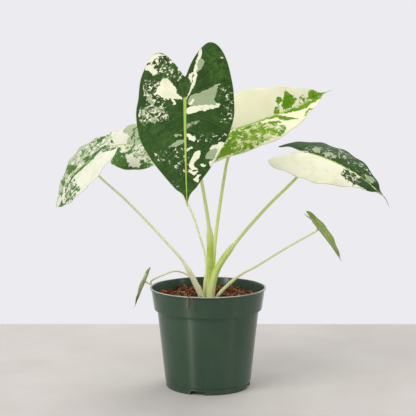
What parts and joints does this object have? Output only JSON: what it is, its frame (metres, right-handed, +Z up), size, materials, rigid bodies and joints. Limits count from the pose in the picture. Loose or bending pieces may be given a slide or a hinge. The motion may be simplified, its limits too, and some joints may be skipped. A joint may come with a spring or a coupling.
{
  "type": "variegated alocasia plant in a nursery pot",
  "caption": "Potted aroid house plant: arrow-shaped dark green blades splashed with cream, on long pale stalks from a shared crown, in coconut-husk mix in a tapered nursery pot.",
  "frame": {"origin": "centre of the pot's underside, on the surface that the pot stands on", "axes": "+Z up along the pot's axis, +X to the right seen from the front, where the largest blade faces, and +Y towards the back"},
  "size_m": [0.3022, 0.2063, 0.3175],
  "materials": {
    "pot_plastic": "satin dark green polypropylene with a scuffed paler lip",
    "potting_mix": "damp shredded coconut husk, red brown",
    "husk_chip": "dry fibrous husk flake",
    "coir": "dry coir fibre",
    "crown": "waxy pale green-brown stem base",
    "leaf_stalk": "smooth waxy pale yellow-green skin",
    "leaf_blade": "velvety dark green with cream and grey-green sectors, splashes and specks"
  },
  "bodies": {
    "root": {"nursery_pot": "pot_plastic", "potting_mix": "potting_mix", "crown": "crown", "coir_strand": "coir", "husk_chip_01": "husk_chip", "husk_chip_02": "husk_chip", "husk_chip_03": "husk_chip", "husk_chip_04": "husk_chip", "husk_chip_05": "husk_chip", "husk_chip_06": "husk_chip", "husk_chip_07": "husk_chip", "husk_chip_08": "husk_chip", "husk_chip_09": "husk_chip", "front_leaf_blade": "leaf_blade", "front_leaf_stalk": "leaf_stalk", "back_right_leaf_blade": "leaf_blade", "back_right_leaf_stalk": "leaf_stalk", "right_leaf_blade": "leaf_blade", "right_leaf_stalk": "leaf_stalk", "small_right_leaf_blade": "leaf_blade", "small_right_leaf_stalk": "leaf_stalk", "left_leaf_blade": "leaf_blade", "left_leaf_stalk": "leaf_stalk", "small_left_leaf_blade": "leaf_blade", "small_left_leaf_stalk": "leaf_stalk", "back_left_leaf_blade": "leaf_blade", "back_left_leaf_stalk": "leaf_stalk"}
  },
  "joints": []
}
